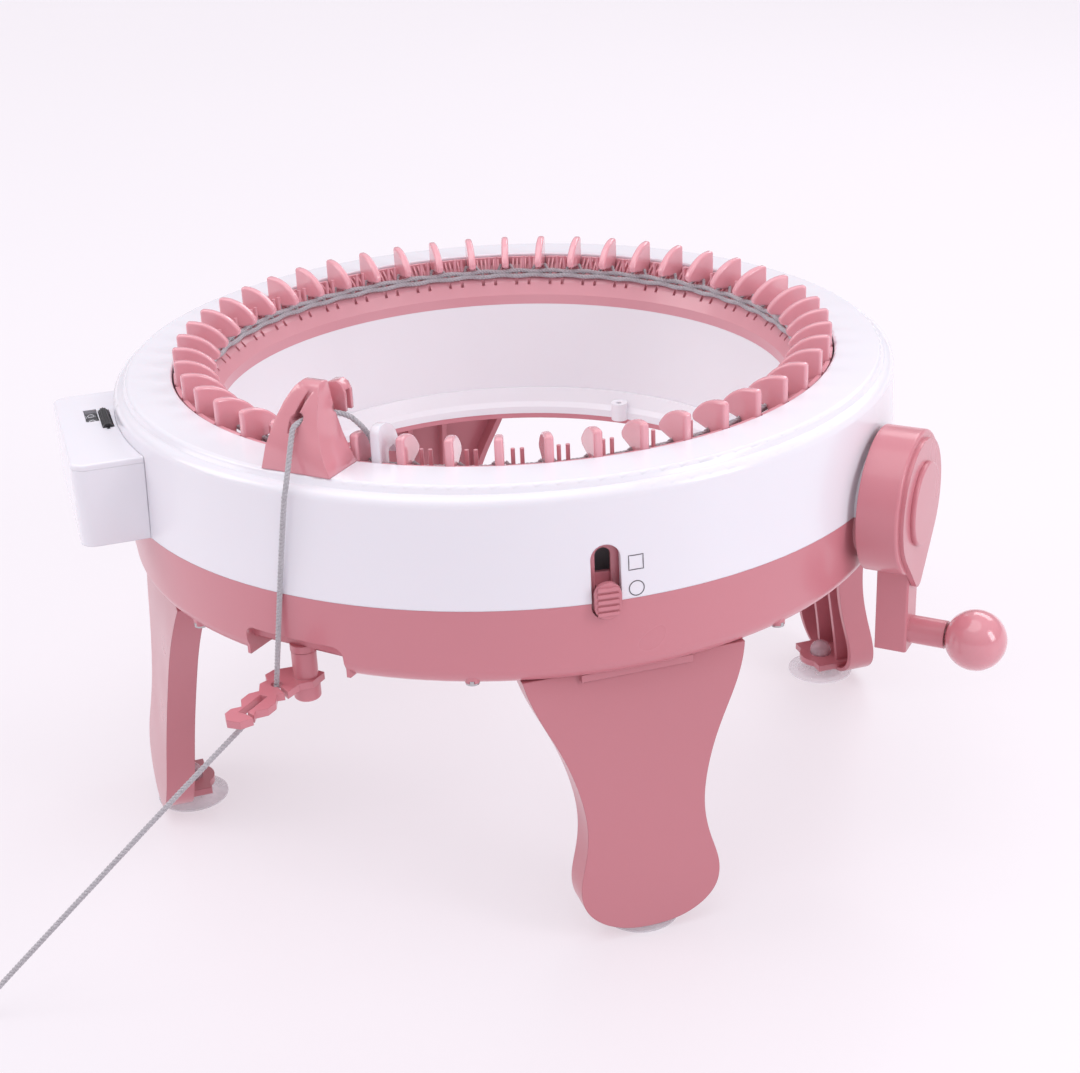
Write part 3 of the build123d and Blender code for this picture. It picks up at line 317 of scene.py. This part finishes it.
def route_points(name, route):
    """Points along the smooth NURBS line through a route."""
    curve = bpy.data.curves.new(name, "CURVE")
    curve.dimensions = "3D"
    curve.resolution_u = 24
    spline = curve.splines.new("NURBS")
    spline.points.add(len(route) - 1)
    for target, place in zip(spline.points, route):
        target.co = (*point(*place), 1)
    spline.order_u = 3
    spline.use_endpoint_u = True
    line = bpy.data.objects.new(name, curve)
    scene.collection.objects.link(line)
    bpy.context.view_layer.update()
    mesh = bpy.data.meshes.new_from_object(line.evaluated_get(bpy.context.evaluated_depsgraph_get()))
    points = [v.co.copy() for v in mesh.vertices]
    bpy.data.objects.remove(line)
    bpy.data.meshes.remove(mesh)
    bpy.data.curves.remove(curve)
    return points


def resampled(points, step):
    """Evenly spaced points along a polyline."""
    result = [points[0].copy()]
    left = step
    for a, b in zip(points, points[1:]):
        length = (b - a).length
        place = left
        while place <= length:
            result.append(a.lerp(b, place / length))
            place += step
        left = place - length
    if (result[-1] - points[-1]).length > step * 0.3:
        result.append(points[-1].copy())
    else:
        result[-1] = points[-1].copy()
    return result


def frames(points):
    """A tangent and two normals at each point, turning as little as possible."""
    tangents = []
    for i in range(len(points)):
        a, b = points[max(i - 1, 0)], points[min(i + 1, len(points) - 1)]
        tangents.append((b - a).normalized())
    side = tangents[0].orthogonal().normalized()
    result = []
    for tangent in tangents:
        side = (side - tangent * side.dot(tangent)).normalized()
        result.append((tangent, side, tangent.cross(side)))
    return result


PLIES = 3
PLY_TURN = 4.6 * MM         # length of one full twist of the plies
PLY_STEP = 0.45 * MM        # distance between the rings of a ply's mesh
PLY_SHARE = 0.268           # a ply's radius over the yarn's diameter
PLY_SIDES = 8


def twisted(name, points, body, diameter=YARN_D):
    """Three plies wound round a line, as one mesh."""
    line = resampled(points, PLY_STEP)
    placed = frames(line)
    ply_r = diameter * PLY_SHARE
    offset = diameter * 0.5 - ply_r
    vertices, faces = [], []
    for ply in range(PLIES):
        centres = []
        for i, (p, (_, u, v)) in enumerate(zip(line, placed)):
            a = 2 * math.pi * (i * PLY_STEP / PLY_TURN + ply / PLIES)
            centres.append(p + (u * math.cos(a) + v * math.sin(a)) * offset)
        base = len(vertices)
        for p, (_, u, v) in zip(centres, frames(centres)):
            for k in range(PLY_SIDES):
                a = 2 * math.pi * k / PLY_SIDES
                vertices.append(p + (u * math.cos(a) + v * math.sin(a)) * ply_r)
        for i in range(len(centres) - 1):
            for k in range(PLY_SIDES):
                n = (k + 1) % PLY_SIDES
                row, nxt = base + i * PLY_SIDES, base + (i + 1) * PLY_SIDES
                faces.append((row + k, row + n, nxt + n, nxt + k))
        faces.append(tuple(base + k for k in reversed(range(PLY_SIDES))))
        last = base + (len(centres) - 1) * PLY_SIDES
        faces.append(tuple(last + k for k in range(PLY_SIDES)))
    mesh = bpy.data.meshes.new(name)
    mesh.from_pydata(vertices, [], faces)
    mesh.validate()
    mesh.shade_smooth()
    mesh.materials.append(M["yarn"])
    piece = bpy.data.objects.new(name, mesh)
    scene.collection.objects.link(piece)
    if body:
        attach(piece, body)
    return piece


STITCH_D = 1.5 * MM
# one leg of a loop: distance from the axis, distance from the needle's middle plane, height
STITCH = ((126.2, 5.6, 182.0), (127.6, 4.0, 182.9), (129.6, 2.6, 184.8), (129.9, 2.1, 185.6))


def stitches(name):
    """Legs of the loops held by the needles: a pair rises from the round to each needle's back."""
    pieces = []
    for needle in range(NEEDLES):
        a = math.radians(FIRST_ANGLE + NEEDLE_PITCH * needle)
        for side in (-1, 1):
            route = [(n * math.cos(a) - t * side * math.sin(a), n * math.sin(a) + t * side * math.cos(a), z)
                     for n, t, z in STITCH]
            pieces.append(twisted(name + "_leg", route_points(name + "_line", route), "drum", STITCH_D))
    with bpy.context.temp_override(active_object=pieces[0], selected_editable_objects=pieces):
        bpy.ops.object.join()
    pieces[0].name = name
    return pieces[0]


PATH_STEP = 2.0 * MM


def add_cord(name, node, route, body):
    """A twisted yarn along a route, made to stand in for its CAD node, which is hidden."""
    points = route_points(name + "_line", route)
    piece = twisted(name, points, body)
    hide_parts(node)
    path = resampled(points, PATH_STEP)
    return piece


feed = add_cord("yarn_feed", "feed_yarn", FEED, None)
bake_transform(feed)
add_cord("yarn_tail", "tail_yarn", TAIL, "arm")
loops = stitches("yarn_stitches")
add_cord("yarn_cast_on", "cast_on_yarn", CAST, "drum")


# ---------------------------------------------------------------- mesh helpers
def add_mesh(name, vertices, faces, material, body):
    """A new piece that rides on a body, finished with one of the materials above."""
    mesh = bpy.data.meshes.new(name)
    mesh.from_pydata(vertices, [], faces)
    mesh.validate()
    mesh.materials.append(M[material])
    piece = bpy.data.objects.new(name, mesh)
    scene.collection.objects.link(piece)
    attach(piece, body)
    return piece


def turned(angle, n, t, z):
    """A point in the radial frame at an angle, in millimetres, as metres in the row frame."""
    a = math.radians(angle)
    return point(n * math.cos(a) - t * math.sin(a), n * math.sin(a) + t * math.cos(a), z)


# ---------------------------------------------------------------- printed marks beside the mode slider
CASING_R, SEAM_Z, WALL_SLOPE = 165.0, 143.0, 0.03866
MARK_ANGLE = -46.1
PRINT_PROUD, PRINT_SUNK = 0.06, -0.05        # the print's outer and inner faces, from the wall


def wall_point(t, z, proud):
    """A point on the cover's outer wall at an arc distance from the marks' middle."""
    radius = CASING_R - WALL_SLOPE * (z - SEAM_Z) + proud
    a = math.radians(MARK_ANGLE) + t / CASING_R
    return point(radius * math.cos(a), radius * math.sin(a), z)


def printed_loop(name, outline, centre_z, width):
    """A printed outline, raised a hair above the wall."""
    count = len(outline)
    vertices, faces = [], []
    for scale_by, proud in ((1.0, PRINT_SUNK), (1.0, PRINT_PROUD), (None, PRINT_PROUD), (None, PRINT_SUNK)):
        for t, z in outline:
            k = scale_by or 1 - width / math.hypot(t, z)
            vertices.append(wall_point(t * k, centre_z + z * k, proud))
    for ring in range(4):
        for i in range(count):
            j = (i + 1) % count
            a, b = ring * count, (ring + 1) % 4 * count
            faces.append((a + i, a + j, b + j, b + i))
    add_mesh(name, vertices, faces, "icon", "base")


SQUARE_HALF, SQUARE_STEPS = 2.9, 6
CIRCLE_R, CIRCLE_STEPS = 3.0, 40
SQUARE_Z, CIRCLE_Z, PRINT_WIDTH = 156.7, 146.7, 0.38
square = []
for corner in ((-1, -1), (1, -1), (1, 1), (-1, 1)):
    following = (-corner[1], corner[0])
    for k in range(SQUARE_STEPS):
        along = k / SQUARE_STEPS
        square.append([SQUARE_HALF * (a + (b - a) * along) for a, b in zip(corner, following)])
circle = []
for k in range(CIRCLE_STEPS):
    a = 2 * math.pi * k / CIRCLE_STEPS
    circle.append((CIRCLE_R * math.cos(a), CIRCLE_R * math.sin(a)))
printed_loop("mark_square", square, SQUARE_Z, PRINT_WIDTH)
printed_loop("mark_circle", circle, CIRCLE_Z, PRINT_WIDTH)

# ---------------------------------------------------------------- digits on the counter wheels
COUNTER_ANGLE, WHEEL_N, WHEEL_Z, WHEEL_R = -135.0, 172.6, 170.0, 5.0
UNITS_T, TENS_T = -10.1, -16.95             # middles of the two wheels along their axle
DIGIT_WIDTH, DIGIT_HEIGHT = 4.4, 2.9
DIGIT_ASPECT = 0.7                          # a digit narrower than this keeps its own proportions


def wheel_digits(name, body, middle_t):
    """The digits 0 to 9 round a wheel, in a plain generic face."""
    vertices, faces = [], []
    for digit in range(10):
        data = bpy.data.curves.new(name + "_text", "FONT")
        data.body = str(digit)
        data.extrude = 0.06
        data.resolution_u = 3
        text = bpy.data.objects.new(name + "_text", data)
        scene.collection.objects.link(text)
        bpy.context.view_layer.update()
        mesh = bpy.data.meshes.new_from_object(text.evaluated_get(bpy.context.evaluated_depsgraph_get()))
        xs = [v.co.x for v in mesh.vertices]
        ys = [v.co.y for v in mesh.vertices]
        base = len(vertices)
        width, height = max(xs) - min(xs), max(ys) - min(ys)
        for v in mesh.vertices:
            along = ((v.co.x - min(xs)) / width - 0.5) * DIGIT_WIDTH * min(1, width / height / DIGIT_ASPECT)
            across = ((v.co.y - min(ys)) / height - 0.5) * DIGIT_HEIGHT
            a = 2 * math.pi * digit / 10 + across / WHEEL_R
            r = WHEEL_R + 0.02 + v.co.z
            n, z = WHEEL_N - r * math.sin(a), WHEEL_Z + r * math.cos(a)
            vertices.append(turned(COUNTER_ANGLE, n, middle_t - along, z))
        faces += [tuple(base + i for i in f.vertices) for f in mesh.polygons]
        bpy.data.objects.remove(text)
        bpy.data.meshes.remove(mesh)
        bpy.data.curves.remove(data)
    add_mesh(name, vertices, faces, "digit", body)


wheel_digits("units_digits", "units_wheel", UNITS_T)
wheel_digits("tens_digits", "tens_wheel", TENS_T)


# ---------------------------------------------------------------- needles with their full, rounded heads
def through(a, b, c, count=7):
    """Points of the circle arc from a to c by way of b, without a."""
    (ax, ay), (bx, by), (cx, cy) = a, b, c
    d = 2 * (ax * (by - cy) + bx * (cy - ay) + cx * (ay - by))
    aa, bb, cc = ax * ax + ay * ay, bx * bx + by * by, cx * cx + cy * cy
    ux = (aa * (by - cy) + bb * (cy - ay) + cc * (ay - by)) / d
    uy = (aa * (cx - bx) + bb * (ax - cx) + cc * (bx - ax)) / d
    start, end = math.atan2(ay - uy, ax - ux), math.atan2(cy - uy, cx - ux)
    middle = math.atan2(by - uy, bx - ux)
    sweep = (end - start) % (2 * math.pi)
    if (middle - start) % (2 * math.pi) > sweep:
        sweep -= 2 * math.pi
    radius = math.hypot(ax - ux, ay - uy)
    angles = [start + sweep * k / count for k in range(1, count + 1)]
    return [(ux + radius * math.cos(a), uy + radius * math.sin(a)) for a in angles]


def needle_heads():
    """The pink needles: blade, butt and a full head that narrows to its lower lip."""
    top = CREST_Z
    outline = [(STEM_IN_R, STEM_LOW_Z), (STEM_OUT_R, STEM_LOW_Z), (STEM_OUT_R, BUTT_Z), (BUTT_R, BUTT_Z),
               (BUTT_R, BUTT_Z + BUTT_HEIGHT), (STEM_OUT_R, BUTT_Z + BUTT_HEIGHT), (STEM_OUT_R, top - 1.3)]
    outline += through(outline[-1], (STEM_OUT_R - 0.4, top - 0.4), (STEM_OUT_R - 1.3, top), 4)
    outline += through(outline[-1], (126.8, top - 2.4), (120.4, top - 8.2), 8)
    outline += through(outline[-1], (120.5, top - 10.6), (122.6, top - 11.6), 5)
    outline += [(STEM_IN_R, top - 13.4)]
    count = len(outline)
    vertices, faces = [], []
    for needle in range(NEEDLES):
        base = len(vertices)
        for side in (-NEEDLE_HALF, NEEDLE_HALF):
            vertices += [turned(FIRST_ANGLE + NEEDLE_PITCH * needle, n, side, z) for n, z in outline]
        faces.append(tuple(base + i for i in reversed(range(count))))
        faces.append(tuple(base + count + i for i in range(count)))
        for i in range(count):
            j = (i + 1) % count
            faces.append((base + i, base + j, base + count + j, base + count + i))
    piece = add_mesh("needle_set", vertices, faces, "needle", "drum")
    piece.data.shade_smooth()
    piece.data.set_sharp_from_angle(angle=SMOOTH_ANGLE)
    rounded(piece, 1.15, 4)
    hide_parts("needles")


needle_heads()

# ---------------------------------------------------------------- ribs of the comb between the needles
RIB_HALF = 0.42
WHITE_CLEARANCE = 1.4                                    # degrees without ribs each side of it
RIB_OFFSETS = (-2.15, -1.25, -0.38, 0.48, 1.35, 2.2)     # degrees from the middle of a gap
RIB_PROFILE = ((129.8, 179.8), (130.0, 181.9), (132.5, 184.6), (136.0, 186.6), (138.2, 186.9), (138.2, 183.0),
               (135.6, 182.6))


def comb_ribs():
    """Thin upright ribs, fanned between the needles, from the spikes out to the comb's rim."""
    vertices, faces = [], []
    count = len(RIB_PROFILE)
    for gap in range(NEEDLES):
        middle = FIRST_ANGLE + NEEDLE_PITCH * (gap + 0.5)
        for offset in RIB_OFFSETS:
            angle = middle + offset
            if abs((angle - WHITE_ANGLE + 180) % 360 - 180) < WHITE_CLEARANCE:
                continue
            base = len(vertices)
            for side in (-RIB_HALF, RIB_HALF):
                vertices += [turned(angle, n, side, z) for n, z in RIB_PROFILE]
            faces.append(tuple(base + i for i in range(count)))
            faces.append(tuple(base + count + i for i in reversed(range(count))))
            for i in range(count):
                j = (i + 1) % count
                faces.append((base + j, base + i, base + count + i, base + count + j))
    add_mesh("comb_ribs", vertices, faces, "comb", "drum")


comb_ribs()

# ---------------------------------------------------------------- studio
FLOOR = (0.955, 0.905, 0.960)
FLOOR_GLOW = 0.57           # share of the floor's light that doesn't depend on shadows, as on a light table
FLOOR_MATT = 0.36
SKY_LOW, SKY_HIGH = 0.16, 1.12
FLAT_R, EDGE_R, EDGE_RISE = 4.0, 9.0, 1.0        # metres: the floor sweeps up round its edge, as a backdrop
FLOOR_RINGS, FLOOR_SIDES = 12, 96


def studio():
    """The pale floor and the sky over it."""
    mesh = bpy.data.meshes.new("floor")
    vertices, faces = [(0, 0, 0)], []
    for ring in range(FLOOR_RINGS + 1):
        along = ring / FLOOR_RINGS
        radius = FLAT_R + (EDGE_R - FLAT_R) * along
        for side in range(FLOOR_SIDES):
            a = 2 * math.pi * side / FLOOR_SIDES
            vertices.append((radius * math.cos(a), radius * math.sin(a), EDGE_RISE * along ** 2))
    for side in range(FLOOR_SIDES):
        after = (side + 1) % FLOOR_SIDES
        faces.append((0, 1 + side, 1 + after))
        for ring in range(FLOOR_RINGS):
            inner, outer = 1 + ring * FLOOR_SIDES, 1 + (ring + 1) * FLOOR_SIDES
            faces.append((inner + side, outer + side, outer + after, inner + after))
    mesh.from_pydata(vertices, [], faces)
    mesh.shade_smooth()
    floor = bpy.data.objects.new("floor", mesh)
    scene.collection.objects.link(floor)
    material, tree, shader = new_material("floor")
    cloud = noise(tree, 1.5, 2.0)
    tone = mixed(tree, cloud, scaled(FLOOR, 0.985), FLOOR)
    dim = tree.nodes.new("ShaderNodeMix")
    dim.data_type = "RGBA"
    dim.inputs["Factor"].default_value = 1 - FLOOR_MATT
    tree.links.new(tone, dim.inputs["A"])
    dim.inputs["B"].default_value = (0, 0, 0, 1)
    tree.links.new(dim.outputs["Result"], shader.inputs["Base Color"])
    tree.links.new(tone, shader.inputs["Emission Color"])
    shader.inputs["Emission Strength"].default_value = FLOOR_GLOW
    shader.inputs["Roughness"].default_value = 0.45
    mesh.materials.append(material)
    world = bpy.data.worlds.new("studio")
    world.use_nodes = True
    tree = world.node_tree
    background = tree.nodes["Background"]
    coordinate = tree.nodes.new("ShaderNodeTexCoord")
    split = tree.nodes.new("ShaderNodeSeparateXYZ")
    tree.links.new(coordinate.outputs["Generated"], split.inputs["Vector"])
    strength = ramp(tree, split.outputs["Z"], 0.0, 1.0, SKY_LOW, SKY_HIGH)
    tree.links.new(strength, background.inputs["Strength"])
    background.inputs["Color"].default_value = (0.94, 0.915, 0.965, 1)
    scene.world = world


def area_light(name, place, target, size, power, color):
    data = bpy.data.lights.new(name, "AREA")
    data.shape = "RECTANGLE"
    data.size, data.size_y = size
    data.energy = power
    data.color = color
    lamp = bpy.data.objects.new(name, data)
    lamp.location = place
    lamp.rotation_euler = (Vector(target) - Vector(place)).to_track_quat("-Z", "Y").to_euler()
    scene.collection.objects.link(lamp)


def sun_light(name, direction, strength, spread):
    data = bpy.data.lights.new(name, "SUN")
    data.energy = strength
    data.angle = math.radians(spread)
    lamp = bpy.data.objects.new(name, data)
    lamp.rotation_euler = Vector(direction).to_track_quat("-Z", "Y").to_euler()
    scene.collection.objects.link(lamp)


studio()
sun_light("sky_panel", (0.2, 0.3, -1.6), 0.68, 50)
area_light("key", (-1.45, -0.75, 1.0), (-0.05, 0, 0.12), (0.7, 1.0), 6.2, (1.0, 0.985, 0.99))
area_light("fill", (1.6, -0.15, 0.85), (0.1, 0, 0.14), (0.5, 0.9), 7.6, (0.98, 0.97, 1.0))
area_light("rim", (0.3, 1.5, 1.3), (0, 0, 0.15), (1.4, 0.6), 7.0, (1.0, 0.98, 1.0))
scene.view_settings.view_transform = "Standard"
